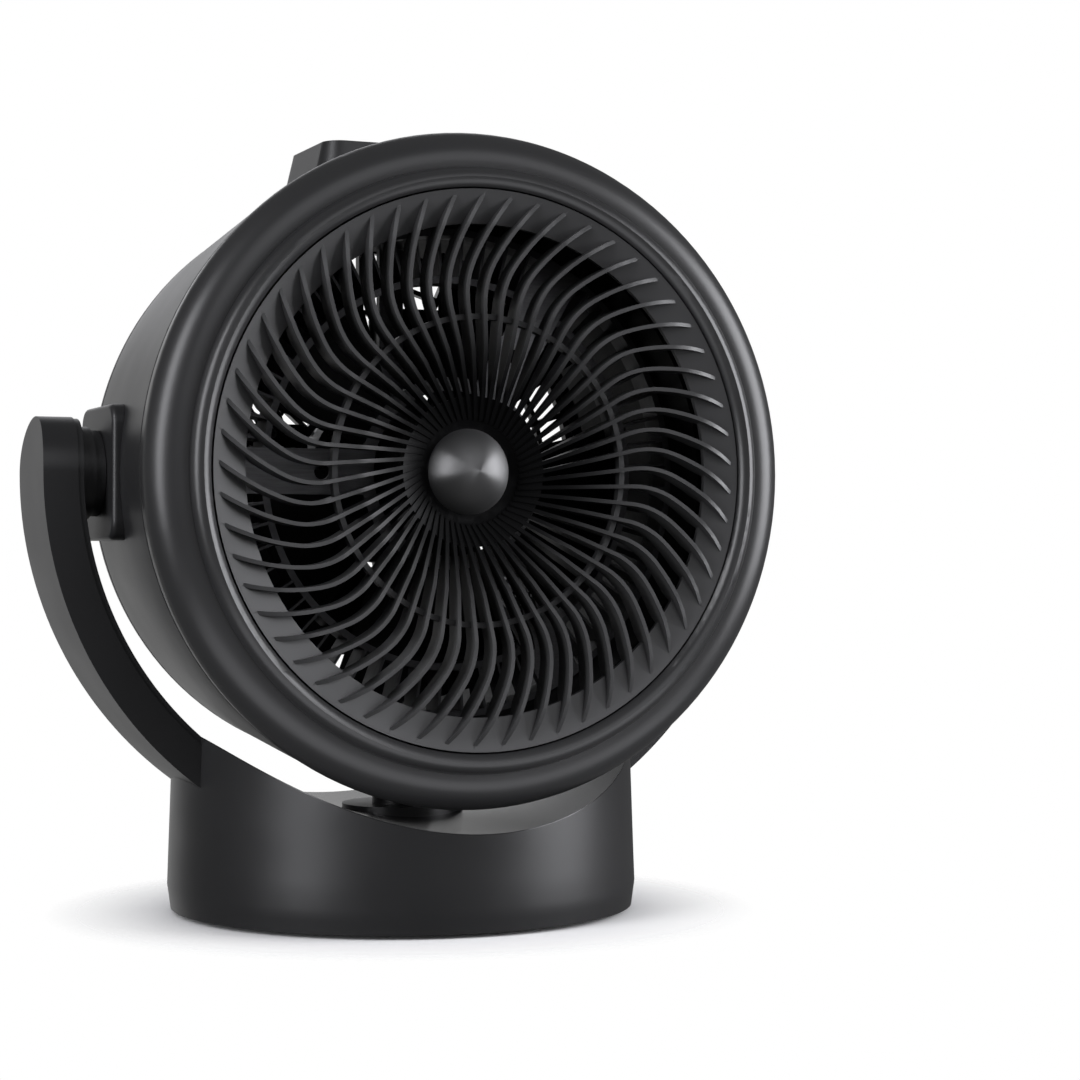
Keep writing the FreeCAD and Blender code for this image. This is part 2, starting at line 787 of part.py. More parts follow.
# Heater: two bands joined by thin radial fins, carried on a flat frame
heater_outer = "(duct_radius - seat_gap)"
heater = head_body("heater")
heater_sketch = new_sketch(heater, "heater_ring_circles", "XY_Plane", "heater_front")
circles(heater_sketch, [(0, 0, heater_outer), (0, 0, "heater_inner")])
pad(heater, heater_sketch, "heater_depth")


def sector_window(sketch, inner, outer, count, bar):
    """A window between two parallel-sided spokes, on the sketch's X axis."""
    outline(sketch, [
        (inner, f"-(({inner}) * tan(180 / {count}) - {bar} / 2)"),
        (outer, f"-(({outer}) * tan(180 / {count}) - {bar} / 2)"),
        (outer, f"({outer}) * tan(180 / {count}) - {bar} / 2"),
        (inner, f"({inner}) * tan(180 / {count}) - {bar} / 2"),
    ])


fin_sketch = new_sketch(heater, "fin_window", "XY_Plane", "heater_front")
sector_window(fin_sketch, "heater_inner + heater_band", f"{heater_outer} - heater_band",
              "fin_count", "fin_thick")
polar(heater, [pocket(heater, fin_sketch, "heater_depth")], "fin_count")
node(heater, "heater_ring")

frame_start = "heater_front - frame_thick"
frame = head_body("heater_plate")
frame_sketch = new_sketch(frame, "frame_ring_circles", "XY_Plane", frame_start)
circles(frame_sketch, [(0, 0, "frame_ring + frame_ring_width"), (0, 0, "frame_ring")])
pad(frame, frame_sketch, "frame_thick")
arm_sketch = new_sketch(frame, "frame_arm", "XY_Plane", frame_start)
arm_inner = "frame_ring + frame_ring_width / 2"
arm_outer = f"sqrt({heater_outer}^2 - frame_arm_width^2 / 4)"
outline(arm_sketch, [
    (f"-({arm_inner})", "-frame_arm_width / 2"),
    (f"-({arm_inner})", "frame_arm_width / 2"),
    (f"-({arm_outer})", "frame_arm_width / 2"),
    (f"-({arm_outer})", "-frame_arm_width / 2"),
])
circles(arm_sketch, [("-(frame_ring + heater_inner) / 2", 0, "frame_hole")])
polar(frame, [pad(frame, arm_sketch, "frame_thick")], 3)
node(frame, "heater_frame")

# Motor and the spider that holds it in the duct
motor = turned(head_body("motor"), [
    ("shaft_radius + running_gap", "motor_front"),
    ("motor_radius / 2", "motor_front"),
    ("motor_radius / 2", "motor_front + bracket_thick"),
    ("0.9 * motor_radius", "motor_front + bracket_thick"),
    ("motor_radius", "motor_front + 2 * bracket_thick"),
    ("motor_radius", "motor_end - bracket_thick"),
    ("0.9 * motor_radius", "motor_end"),
    ("shaft_radius + running_gap", "motor_end"),
])
node(motor, "motor_can")

bracket = head_body("bracket")
collar_sketch = new_sketch(bracket, "bracket_collar_circles", "XY_Plane", "bracket_depth")
collar_radius = "motor_radius + seat_gap + bracket_collar"
circles(collar_sketch, [(0, 0, collar_radius), (0, 0, "motor_radius + seat_gap")])
pad(bracket, collar_sketch, "3 * bracket_thick")
spoke_sketch = new_sketch(bracket, "bracket_spoke", "XY_Plane", "bracket_depth")
spoke_inner = "motor_radius + seat_gap + bracket_collar / 2"
spoke_outer = f"sqrt({heater_outer}^2 - bracket_arm_width^2 / 4)"
outline(spoke_sketch, [
    (spoke_inner, "-bracket_arm_width / 2"),
    (spoke_outer, "-bracket_arm_width / 2"),
    (spoke_outer, "bracket_arm_width / 2"),
    (spoke_inner, "bracket_arm_width / 2"),
])
polar(bracket, [pad(bracket, spoke_sketch, "bracket_thick")], 4)
node(bracket, "motor_bracket")

# Fan: hub and twisted blades on the motor shaft, held by a nut
fan_hub = turned(head_body("fan_hub"), [
    ("shaft_radius", "fan_front"),
    ("0.7 * fan_hub_radius", "fan_front", "0.4 * fan_hub_radius"),
    ("fan_hub_radius", "fan_front + fan_depth / 4"),
    ("fan_hub_radius", "fan_front + fan_depth"),
    ("shaft_radius", "fan_front + fan_depth"),
])


def blade_section(radius, chord, pitch):
    """A thin bowed section across a blade at one radius, as a closed wire."""
    along = Vector(0, math.cos(pitch), math.sin(pitch))
    across = Vector(0, -math.sin(pitch), math.cos(pitch))
    centre = Vector(radius, 0, size("fan_front") + size("fan_depth") / 2)
    half = size("blade_thick") / 2
    camber = 0.07 * chord
    corners = []
    for side in (-half, half):
        corners.append([
            centre + along * (chord * share) + across * (side + camber * (0.25 - share**2) * 4)
            for share in (-0.5, 0, 0.5)])
    (a, b, c), (d, e, f) = corners
    return Part.Wire([
        Part.Arc(a, b, c).toShape(), Part.makeLine(c, f),
        Part.Arc(f, e, d).toShape(), Part.makeLine(d, a)])


blade_root = size("fan_hub_radius") - 2 * size("blade_thick")
blade_sections = []
for share in (0.0, 0.5, 1.0):
    chord = size("blade_root_chord") + (size("blade_tip_chord") - size("blade_root_chord")) * share
    pitch = size("blade_root_pitch") + (size("blade_tip_pitch") - size("blade_root_pitch")) * share
    reach = blade_root + (size("fan_radius") - blade_root) * share
    blade_sections.append(blade_section(reach, chord, math.radians(pitch)))
rim_disc = Part.makeCylinder(size("fan_radius"), 4 * size("fan_depth"),
                             Vector(0, 0, size("fan_front") - size("fan_depth")))
blade = Part.makeLoft(blade_sections, True, False).common(rim_disc)
blade_total = int(size("blade_count"))
blades = doc.addObject("Part::Feature", "fan_blades")
blades.Shape = Part.makeCompound([
    blade.rotated(Vector(0, 0, 0), Vector(0, 0, 1), size("blade_phase") + 360.0 * i / blade_total)
    for i in range(blade_total)])
place(blades, y="-front_reach", z="pivot_height", turn=along_y)
node(fuse("fan_fused", fan_hub, blades), "fan_rotor")

shaft_start = "fan_front - nut_height"
shaft = cylinder("shaft", "shaft_radius", f"motor_end - ({shaft_start})",
                 y=f"{shaft_start} - front_reach", z="pivot_height", turn=along_y)
node(shaft, "fan_shaft")

nut = turned(head_body("nut"), [
    ("shaft_radius", shaft_start),
    ("0.6 * nut_radius", shaft_start, "0.5 * nut_radius"),
    ("nut_radius", "fan_front - nut_height / 2"),
    ("nut_radius", "fan_front"),
    ("shaft_radius", "fan_front"),
])
node(nut, "spinner_nut")

# Rear cover: rounded shoulder that plugs into the drum
rear_round = "min(rear_end - drum_end; drum_rear_radius - rear_opening - rear_wall)"
plug_radius = "drum_rear_radius - drum_wall - seat_gap"
rear_cover = turned(head_body("rear_cover_form"), [
    (f"{plug_radius} - rear_wall", "drum_end - spigot"),
    (plug_radius, "drum_end - spigot"),
    (plug_radius, "drum_end"),
    ("drum_rear_radius", "drum_end"),
    ("drum_rear_radius", f"rear_end - {rear_round}", rear_round),
    (f"drum_rear_radius - {rear_round}", "rear_end"),
    ("rear_opening", "rear_end"),
    ("rear_opening", "rear_end - 2 * rear_wall"),
    (f"drum_rear_radius - {rear_round}", "rear_end - rear_wall"),
    (f"{plug_radius} - rear_wall", f"rear_end - {rear_round}"),
])
node(rear_cover, "rear_cover")

rear = head_body("rear_plate")
rear_start = "rear_end - rear_grille_thick"
rear_radius = "(rear_opening - seat_gap)"
rear_sketch = new_sketch(rear, "rear_disc_circle", "XY_Plane", rear_start)
circles(rear_sketch, [(0, 0, rear_radius)])
pad(rear, rear_sketch, "rear_grille_thick")
rows = int(size("rear_rows"))
row_pitch = f"(({rear_radius} - rear_rim - rear_disc_radius + rear_bar) / rear_rows)"
windows = []
for i in range(rows):
    window_sketch = new_sketch(rear, f"rear_window_{i + 1}", "XY_Plane", rear_start)
    window_start = f"(rear_disc_radius + {i} * {row_pitch})"
    sector_window(window_sketch, window_start, f"{window_start} + {row_pitch} - rear_bar",
                  "rear_bars", "rear_bar")
    windows.append(pocket(rear, window_sketch, "rear_grille_thick"))
polar(rear, windows, "rear_bars")
node(rear, "rear_grille")

# Control box on the drum's top, with sides that lean out towards the drum
panel_y = "(box_rear - box_front) / 2"
box_foot = "sqrt(drum_rear_radius^2 - (box_width / 2 + box_lean)^2) - drum_wall"
control = new_body("control_block", y=panel_y, z="pivot_height + box_height")
block_sketch = new_sketch(control, "block_outline", "XY_Plane")
rounded_rectangle(block_sketch, "box_width", "box_length", "box_round")
block = pad(control, block_sketch, f"box_height - ({box_foot})", downward=True)
bind(block, TaperAngle=f"atan(box_lean / (box_height - ({box_foot})))")


def panel_body(name):
    """A body on the sunk panel's top face."""
    return new_body(name, y=panel_y, z="pivot_height + box_height - panel_sink")


recess = panel_body("panel_recess")
recess_outline = new_sketch(recess, "recess_outline", "XY_Plane", "panel_thick")
rectangle(recess_outline, "panel_width + 2 * running_gap", "panel_length + 2 * running_gap")
pad(recess, recess_outline, "2 * panel_thick", downward=True)
cavity = panel_body("key_cavity")
cavity_outline = new_sketch(cavity, "cavity_outline", "XY_Plane")
rectangle(cavity_outline, "panel_width - 2 * panel_thick", "panel_length - 2 * panel_thick")
pad(cavity, cavity_outline, "panel_thick + key_room", downward=True)
control_open = cut("control_open", control, fuse("panel_room", recess, cavity))
node(cut("control_seated", control_open, drum_form), "control_box")

key_row = "panel_length / 7"
lens_row = "-panel_length / 4"
panel = panel_body("panel_plate")
panel_outline = new_sketch(panel, "panel_outline", "XY_Plane")
rectangle(panel_outline, "panel_width", "panel_length")
pad(panel, panel_outline, "panel_thick", downward=True)
key_radii = ["key_radius", "key_radius", "key_power_radius", "key_radius", "key_radius"]
key_across = [f"{i - 2} * key_pitch" for i in range(5)]
hole_sketch = new_sketch(panel, "key_holes", "XY_Plane")
circles(hole_sketch, [(across, key_row, f"{radius} + slide_gap")
                      for across, radius in zip(key_across, key_radii)])
rectangle(hole_sketch, "lens_width + 2 * running_gap", "lens_length + 2 * running_gap", lens_row)
pocket(panel, hole_sketch, "panel_thick", upward=False)
node(panel, "control_panel")

lens = panel_body("lens_strip")
lens_outline = new_sketch(lens, "lens_outline", "XY_Plane")
rectangle(lens_outline, "lens_width", "lens_length", lens_row)
pad(lens, lens_outline, "panel_thick", downward=True)
node(lens, "indicator_lens")

for i, (across, radius) in enumerate(zip(key_across, key_radii)):
    key = panel_body(f"key_{i + 1}_form")
    cap_sketch = new_sketch(key, f"key_{i + 1}_cap", "XY_Plane", "key_rise")
    circles(cap_sketch, [(across, key_row, radius)])
    pad(key, cap_sketch, "key_rise + panel_thick + seat_gap + key_collar_thick", downward=True)
    collar_sketch = new_sketch(key, f"key_{i + 1}_collar", "XY_Plane", "-panel_thick - seat_gap")
    circles(collar_sketch, [(across, key_row, f"{radius} + key_collar")])
    pad(key, collar_sketch, "key_collar_thick", downward=True)
    node(key, f"key_{i + 1}")

doc.recompute()

faults = [f"{thing.Label}: {thing.State}" for thing in doc.Objects
          if "Invalid" in thing.State or "Error" in thing.State]
for name, thing in nodes.items():
    shape = thing.Shape
    if shape.isNull() or not shape.isValid():
        faults.append(f"{name}: shape is empty or not valid")
    elif len(shape.Solids) != 1:
        faults.append(f"{name}: {len(shape.Solids)} solids")
if faults:
    raise RuntimeError("; ".join(faults))

os.makedirs("parts", exist_ok=True)
for name, thing in nodes.items():
    thing.Shape.exportStep(f"parts/{name}.step")
    print(f"{name}: {thing.Shape.Volume / 1000:.2f} cm3, {len(thing.Shape.Faces)} faces")
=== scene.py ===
import bpy
import bmesh
import math
from mathutils import Matrix, Vector


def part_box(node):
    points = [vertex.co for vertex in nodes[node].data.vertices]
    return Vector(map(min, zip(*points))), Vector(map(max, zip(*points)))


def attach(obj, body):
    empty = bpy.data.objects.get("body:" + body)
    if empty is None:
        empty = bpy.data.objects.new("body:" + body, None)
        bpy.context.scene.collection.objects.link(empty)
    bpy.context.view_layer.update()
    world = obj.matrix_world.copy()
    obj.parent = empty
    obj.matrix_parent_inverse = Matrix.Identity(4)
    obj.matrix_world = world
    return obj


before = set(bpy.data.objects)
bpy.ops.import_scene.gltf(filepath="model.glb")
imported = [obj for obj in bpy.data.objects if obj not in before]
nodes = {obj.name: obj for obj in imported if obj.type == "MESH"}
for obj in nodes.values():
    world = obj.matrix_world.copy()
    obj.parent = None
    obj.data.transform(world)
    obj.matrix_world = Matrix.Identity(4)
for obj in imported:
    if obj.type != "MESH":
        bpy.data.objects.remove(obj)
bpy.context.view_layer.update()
scene = bpy.context.scene
print("frame loaded,", len(nodes), "nodes")

# Main places in metres, read from the frame. Depths in the head run back from the bezel front.
bezelLow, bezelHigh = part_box("bezel_ring")
pivotHeight = (bezelLow[2] + bezelHigh[2]) / 2
frontReach = -bezelLow[1]
spokeThick = 0.004
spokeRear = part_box("motor_bracket")[0][1] + frontReach + spokeThick
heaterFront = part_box("heater_frame")[0][1] + frontReach
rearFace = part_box("rear_grille")[1][1] + frontReach
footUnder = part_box("foot_plate")[0][2]
seatGap = 0.0002  # between the spokes and the fittings behind them


# Material building blocks

def newMaterial(name):
    mat = bpy.data.materials.new(name)
    mat.use_nodes = True
    tree = mat.node_tree
    tree.nodes.clear()
    out = tree.nodes.new("ShaderNodeOutputMaterial")
    shader = tree.nodes.new("ShaderNodeBsdfPrincipled")
    tree.links.new(shader.outputs["BSDF"], out.inputs["Surface"])
    return mat, tree, shader


def objectCoords(tree):
    return tree.nodes.new("ShaderNodeTexCoord").outputs["Object"]


def noiseNode(tree, coords, scale, detail=2.0, rough=0.5):
    noise = tree.nodes.new("ShaderNodeTexNoise")
    noise.inputs["Scale"].default_value = scale
    noise.inputs["Detail"].default_value = detail
    noise.inputs["Roughness"].default_value = rough
    tree.links.new(coords, noise.inputs["Vector"])
    return noise.outputs["Fac"]


def rangeNode(tree, value, low, high, fromLow=0.3, fromHigh=0.7, steps="LINEAR"):
    remap = tree.nodes.new("ShaderNodeMapRange")
    remap.interpolation_type = steps
    remap.inputs["From Min"].default_value = fromLow
    remap.inputs["From Max"].default_value = fromHigh
    remap.inputs["To Min"].default_value = low
    remap.inputs["To Max"].default_value = high
    tree.links.new(value, remap.inputs["Value"])
    return remap.outputs["Result"]


def toneNode(tree, factor, dark, light):
    mix = tree.nodes.new("ShaderNodeMix")
    mix.data_type = "RGBA"
    mix.inputs["A"].default_value = (*dark, 1)
    mix.inputs["B"].default_value = (*light, 1)
    tree.links.new(factor, mix.inputs["Factor"])
    return mix


def vectorNode(tree, operation, value, other=(0, 0, 0)):
    node = tree.nodes.new("ShaderNodeVectorMath")
    node.operation = operation
    node.inputs[1].default_value = other
    tree.links.new(value, node.inputs[0])
    return node


def bumpNode(tree, shader, height, strength, depth):
    bump = tree.nodes.new("ShaderNodeBump")
    bump.inputs["Strength"].default_value = strength
    bump.inputs["Distance"].default_value = depth
    tree.links.new(height, bump.inputs["Height"])
    tree.links.new(bump.outputs["Normal"], shader.inputs["Normal"])


def axisDistance(tree, coords):
    # Distance from the line that runs front to back through the tilt axis
    centred = vectorNode(tree, "SUBTRACT", coords, (0, 0, pivotHeight))
    flat = vectorNode(tree, "MULTIPLY", centred.outputs["Vector"], (1, 0, 1))
    return vectorNode(tree, "LENGTH", flat.outputs["Vector"]).outputs["Value"]


def paintHubShade(tree, coords, shader, tone, hub):
    # Painted shade: near-black colour and low specular near the head's axis stand in for the shade of the
    # deep recess round the dome
    span = axisDistance(tree, coords)
    share = rangeNode(tree, span, 0, 1, hub["inner"], hub["outer"], "SMOOTHSTEP")
    mix = toneNode(tree, share, hub["color"], hub["color"])
    tree.links.new(tone.outputs["Result"], mix.inputs["B"])
    tree.links.new(mix.outputs["Result"], shader.inputs["Base Color"])
    shine = rangeNode(tree, span, hub["shine"], hub["outerShine"], hub["inner"], hub["outer"])
    tree.links.new(shine, shader.inputs["Specular IOR Level"])


def polishSaddle(tree, coords, shader, polish, saddle):
    # The dished top of the base is polished, its wall is satin
    start = saddle["radius"] + saddle["margin"]
    wall = rangeNode(tree, axisDistance(tree, coords), saddle["share"], 1, start, start + saddle["blend"])
    product = tree.nodes.new("ShaderNodeMath")
    product.operation = "MULTIPLY"
    tree.links.new(wall, product.inputs[0])
    tree.links.new(polish, product.inputs[1])
    tree.links.new(product.outputs["Value"], shader.inputs["Roughness"])


def spinFinish(tree, shader, share):
    # Spun surface: its highlights stretch out from the head's axis
    shader.inputs["Anisotropic"].default_value = share
    shader.inputs["Anisotropic Rotation"].default_value = 0.25  # a quarter turn
    spin = tree.nodes.new("ShaderNodeTangent")
    spin.direction_type = "RADIAL"
    spin.axis = "Y"
    tree.links.new(spin.outputs["Tangent"], shader.inputs["Tangent"])


def moulded(name, look):
    # Moulded plastic: fine grain in the surface, slow drift in tone and polish
    mat, tree, shader = newMaterial(name)
    coords = objectCoords(tree)
    drift = noiseNode(tree, coords, look["driftScale"], 3.0)
    grain = noiseNode(tree, coords, 1.0 / look["grainSize"], 2.0, 0.6)
    light = [c * (1 + look["toneSpread"]) for c in look["color"]]
    dark = [c * (1 - look["toneSpread"]) for c in look["color"]]
    tone = toneNode(tree, rangeNode(tree, drift, 0, 1), dark, light)
    polish = rangeNode(tree, drift, look["rough"] - look["roughSpread"], look["rough"] + look["roughSpread"])
    tree.links.new(tone.outputs["Result"], shader.inputs["Base Color"])
    tree.links.new(polish, shader.inputs["Roughness"])
    bumpNode(tree, shader, grain, look["grainStrength"], look["grainDepth"])
    shader.inputs["Specular IOR Level"].default_value = look.get("specular", 0.5)
    shader.inputs["IOR"].default_value = look.get("ior", 1.5)
    shader.inputs["Coat Weight"].default_value = look.get("coat", 0.0)
    shader.inputs["Coat Roughness"].default_value = look.get("coatRough", 0.1)
    # Painted shade near the head's axis
    if "hub" in look:
        paintHubShade(tree, coords, shader, tone, look["hub"])
    if "saddle" in look:
        polishSaddle(tree, coords, shader, polish, look["saddle"])
    if "spun" in look:
        spinFinish(tree, shader, look["spun"])
    return mat


rolled = {"light": 1.12, "dark": 0.8, "smudgeScale": 60.0, "polishDown": 0.08, "polishUp": 0.1,
          "bumpStrength": 0.25, "bumpDepth": 0.00002}


def sheetMetal(name, look):
    # Rolled metal: streaks along one direction and small smudges
    mat, tree, shader = newMaterial(name)
    coords = objectCoords(tree)
    stretch = tree.nodes.new("ShaderNodeMapping")
    stretch.inputs["Scale"].default_value = look["streak"]
    tree.links.new(coords, stretch.inputs["Vector"])
    streaks = noiseNode(tree, stretch.outputs["Vector"], 1.0, 4.0, 0.65)
    smudge = noiseNode(tree, coords, rolled["smudgeScale"], 3.0)
    light = [c * rolled["light"] for c in look["color"]]
    dark = [c * rolled["dark"] for c in look["color"]]
    tone = toneNode(tree, rangeNode(tree, streaks, 0, 1), dark, light)
    polish = rangeNode(tree, smudge, look["rough"] - rolled["polishDown"], look["rough"] + rolled["polishUp"])
    tree.links.new(tone.outputs["Result"], shader.inputs["Base Color"])
    tree.links.new(polish, shader.inputs["Roughness"])
    shader.inputs["Metallic"].default_value = 1.0
    bumpNode(tree, shader, streaks, rolled["bumpStrength"], rolled["bumpDepth"])
    return mat


# Shading helpers: curved faces look round and real corners stay sharp

def smoothGroup(angle):
    group = bpy.data.node_groups.new("smoothByAngle", "GeometryNodeTree")
    group.interface.new_socket("Geometry", in_out="INPUT", socket_type="NodeSocketGeometry")
    group.interface.new_socket("Geometry", in_out="OUTPUT", socket_type="NodeSocketGeometry")
    start = group.nodes.new("NodeGroupInput")
    end = group.nodes.new("NodeGroupOutput")
    faces = group.nodes.new("GeometryNodeSetShadeSmooth")
    faces.domain = "FACE"
    edges = group.nodes.new("GeometryNodeSetShadeSmooth")
    edges.domain = "EDGE"
    turn = group.nodes.new("GeometryNodeInputMeshEdgeAngle")
    gentle = group.nodes.new("FunctionNodeCompare")
    gentle.operation = "LESS_THAN"
    gentle.inputs["B"].default_value = math.radians(angle)
    group.links.new(start.outputs[0], faces.inputs["Geometry"])
    group.links.new(faces.outputs["Geometry"], edges.inputs["Geometry"])
    group.links.new(turn.outputs["Unsigned Angle"], gentle.inputs["A"])
    group.links.new(gentle.outputs["Result"], edges.inputs["Shade Smooth"])
    group.links.new(edges.outputs["Geometry"], end.inputs[0])
    return group


smoothAngle = 28
cornerAngle = 40
weldGap = 0.000005
gentleCurves = smoothGroup(smoothAngle)


def softenEdges(part, width, segments):
    soft = part.modifiers.new("edges", "BEVEL")
    soft.width = width
    soft.segments = segments
    soft.limit_method = "ANGLE"
    soft.angle_limit = math.radians(cornerAngle)


def dress(name, material, bevel=0.0, segments=2):
    part = nodes[name]
    part.data.materials.clear()
    part.data.materials.append(material)
    part.modifiers.new("weld", "WELD").merge_threshold = weldGap
    if bevel:
        softenEdges(part, bevel, segments)
    part.modifiers.new("smooth", "NODES").node_group = gentleCurves
    if bevel:
        even = part.modifiers.new("even", "WEIGHTED_NORMAL")
        even.keep_sharp = True
        even.weight = 50


# Plastics

shellLook = {"color": (0.0135, 0.0135, 0.0142), "rough": 0.4, "roughSpread": 0.03, "toneSpread": 0.08,
             "driftScale": 14.0, "grainSize": 0.0007, "grainStrength": 0.35, "grainDepth": 0.00004}
shellBlack = moulded("shellBlack", shellLook)

saddleLook = {"radius": 0.1565, "margin": 0.0003, "blend": 0.0003, "share": 0.6}
baseBlack = moulded("baseBlack", dict(shellLook, saddle=saddleLook))

bezelLook = {"color": (0.019, 0.019, 0.0196), "rough": 0.34, "roughSpread": 0.03, "toneSpread": 0.06,
             "driftScale": 12.0, "grainSize": 0.0006, "grainStrength": 0.2, "grainDepth": 0.00003}
bezelBlack = moulded("bezelBlack", bezelLook)

rearLook = {"color": (0.024, 0.024, 0.0245), "rough": 0.3, "roughSpread": 0.04, "toneSpread": 0.08,
            "driftScale": 25.0, "grainSize": 0.0006, "grainStrength": 0.3, "grainDepth": 0.00003}
rearBlack = moulded("rearBlack", rearLook)

# Painted shade of the deep recess round the dome: colour and specular fall towards the axis
hubLook = {"inner": 0.038, "outer": 0.085, "color": (0.004, 0.004, 0.0042), "shine": 0.05, "outerShine": 0.5}
grilleBlack = moulded("grilleBlack", dict(rearLook, color=(0.043, 0.043, 0.044), rough=0.34, hub=hubLook))

panelLook = {"color": (0.012, 0.012, 0.013), "rough": 0.16, "roughSpread": 0.02, "toneSpread": 0.05,
             "driftScale": 30.0, "grainSize": 0.004, "grainStrength": 0.03, "grainDepth": 0.00002,
             "coat": 0.9, "coatRough": 0.16}
panelGloss = moulded("panelGloss", panelLook)
lensTint = moulded("lensTint", dict(panelLook, color=(0.05, 0.012, 0.01), rough=0.12))
domeLook = dict(panelLook, color=(0.011, 0.011, 0.0115), rough=0.42, specular=0.9, ior=1.75,
                spun=0.8, coat=0.0)
domeGloss = moulded("domeGloss", domeLook)

# Black plastic inside the head, made darker and less specular than the shell: real black plastic with painted
# shade of the duct interior
innerShadeLook = {"color": (0.0035, 0.0035, 0.0037), "rough": 0.55, "roughSpread": 0.05, "toneSpread": 0.1,
            "specular": 0.15, "driftScale": 30.0, "grainSize": 0.0008, "grainStrength": 0.3,
            "grainDepth": 0.00004}
innerPaintedShade = moulded("innerPaintedShade", innerShadeLook)
rubberLook = dict(innerShadeLook, color=(0.014, 0.014, 0.014), rough=0.7, grainSize=0.0012, grainStrength=0.5,
                  specular=0.4)
padRubber = moulded("padRubber", rubberLook)
motorLook = dict(innerShadeLook, color=(0.03, 0.03, 0.032), rough=0.35, grainSize=0.0015, specular=0.5)
motorPaint = moulded("motorPaint", motorLook)

keyLook = dict(shellLook, color=(0.05, 0.05, 0.053), rough=0.45)
keyGrey = moulded("keyGrey", keyLook)
printWhite = moulded("printWhite", dict(keyLook, color=(0.55, 0.55, 0.56), rough=0.5))

# Metals
finMetal = sheetMetal("finMetal", {"color": (0.1, 0.1, 0.104), "rough": 0.5, "streak": (90, 900, 90)})
frameSteel = sheetMetal("frameSteel", {"color": (0.16, 0.16, 0.165), "rough": 0.45, "streak": (60, 60, 1200)})
shaftSteel = sheetMetal("shaftSteel", {"color": (0.5, 0.5, 0.51), "rough": 0.25, "streak": (2000, 60, 2000)})
print("materials made")

# Finish and edge radius of each CAD node
edgeOf = {"shell": 0.0006, "grille": 0.0005, "key": 0.0004, "pad": 0.0004, "gland": 0.0003, "panel": 0.0002}
dress("base_shell", baseBlack, edgeOf["shell"])
for name in ("yoke_arm_left", "yoke_arm_right", "drum_shell", "rear_cover", "control_box",
             "side_pad_left", "side_pad_right", "pivot_boss_left", "pivot_boss_right", "foot_plate",
             "axle_cap", "yoke_strip_left", "yoke_strip_right"):
    dress(name, shellBlack, edgeOf["shell"])
dress("bezel_ring", bezelBlack)
dress("front_grille", grilleBlack, edgeOf["grille"])
dress("rear_grille", rearBlack)
dress("grille_dome", domeGloss)
# Duct, fan and nut in the near-black inside plastic, which carries painted shade
for name in ("air_duct", "fan_rotor", "spinner_nut"):
    dress(name, innerPaintedShade)
dress("heater_ring", finMetal)
dress("heater_frame", frameSteel)
dress("motor_bracket", frameSteel)
dress("motor_can", motorPaint)
dress("fan_shaft", shaftSteel)
dress("control_panel", panelGloss, edgeOf["panel"])
dress("indicator_lens", lensTint)
for i in range(1, 6):
    dress(f"key_{i}", keyGrey, edgeOf["key"], 3)
for i in range(1, 5):
    dress(f"foot_pad_{i}", padRubber, edgeOf["pad"])
dress("cord_gland", padRubber, edgeOf["gland"])
print("CAD nodes dressed")


# Mesh building blocks for the added pieces, in metres and in the shared frame

faceFront = Matrix.Rotation(math.radians(90), 4, "X")
faceRear = Matrix.Rotation(math.radians(-90), 4, "X")
faceDown = Matrix.Rotation(math.radians(180), 4, "X")


def headPoint(x, depth, rise):
    # A point in the head: across, back from the bezel front, above the axis
    return (x, depth - frontReach, pivotHeight + rise)


def inHead(x, depth, rise):
    return Matrix.Translation(headPoint(x, depth, rise))


def addPiece(name, shape, material, body, bevel=0.0):
    bmesh.ops.recalc_face_normals(shape, faces=shape.faces)
    mesh = bpy.data.meshes.new(name)
    shape.to_mesh(mesh)
    shape.free()
    mesh.materials.append(material)
    piece = bpy.data.objects.new(name, mesh)
    scene.collection.objects.link(piece)
    if bevel:
        softenEdges(piece, bevel, 2)
    piece.modifiers.new("smooth", "NODES").node_group = gentleCurves
    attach(piece, body)


def circlePoints(radius, turns):
    return [(radius * math.cos(math.radians(turn)), radius * math.sin(math.radians(turn))) for turn in turns]


def arc(x, y, radius, start, end, steps=20):
    turns = [start + (end - start) * k / steps for k in range(steps + 1)]
    return [(x + across, y + up) for across, up in circlePoints(radius, turns)]


def roundedOutline(x, y, width, height, corner, steps=5):
    points = []
    for index, (sx, sy) in enumerate(((1, 1), (-1, 1), (-1, -1), (1, -1))):
        points += arc(x + sx * (width / 2 - corner), y + sy * (height / 2 - corner), corner,
                      90 * index, 90 * index + 90, steps)
    return points


def bridge(shape, first, second):
    for k in range(len(first)):
        n = (k + 1) % len(first)
        shape.faces.new((first[k], first[n], second[n], second[k]))


def lathe(shape, profile, place, segments=32, closed=True):
    turns = [360 * k / segments for k in range(segments)]
    rings = [[shape.verts.new(place @ Vector((x, y, height))) for x, y in circlePoints(radius, turns)]
             for radius, height in profile]
    for first, second in zip(rings, rings[1:]):
        bridge(shape, first, second)
    if closed:
        shape.faces.new(rings[0])
        shape.faces.new(rings[-1])
    return rings


def prism(shape, points, low, high, place):
    bottom = [shape.verts.new(place @ Vector((x, y, low))) for x, y in points]
    top = [shape.verts.new(place @ Vector((x, y, high))) for x, y in points]
    bridge(shape, bottom, top)
    shape.faces.new(bottom)
    shape.faces.new(top)


screwForm = {"wall": 0.45, "shoulder": 0.8, "shoulderRadius": 0.93, "crownRadius": 0.8,
             "armWidth": 0.24, "pitShare": 0.8, "pitFloor": 0.3}


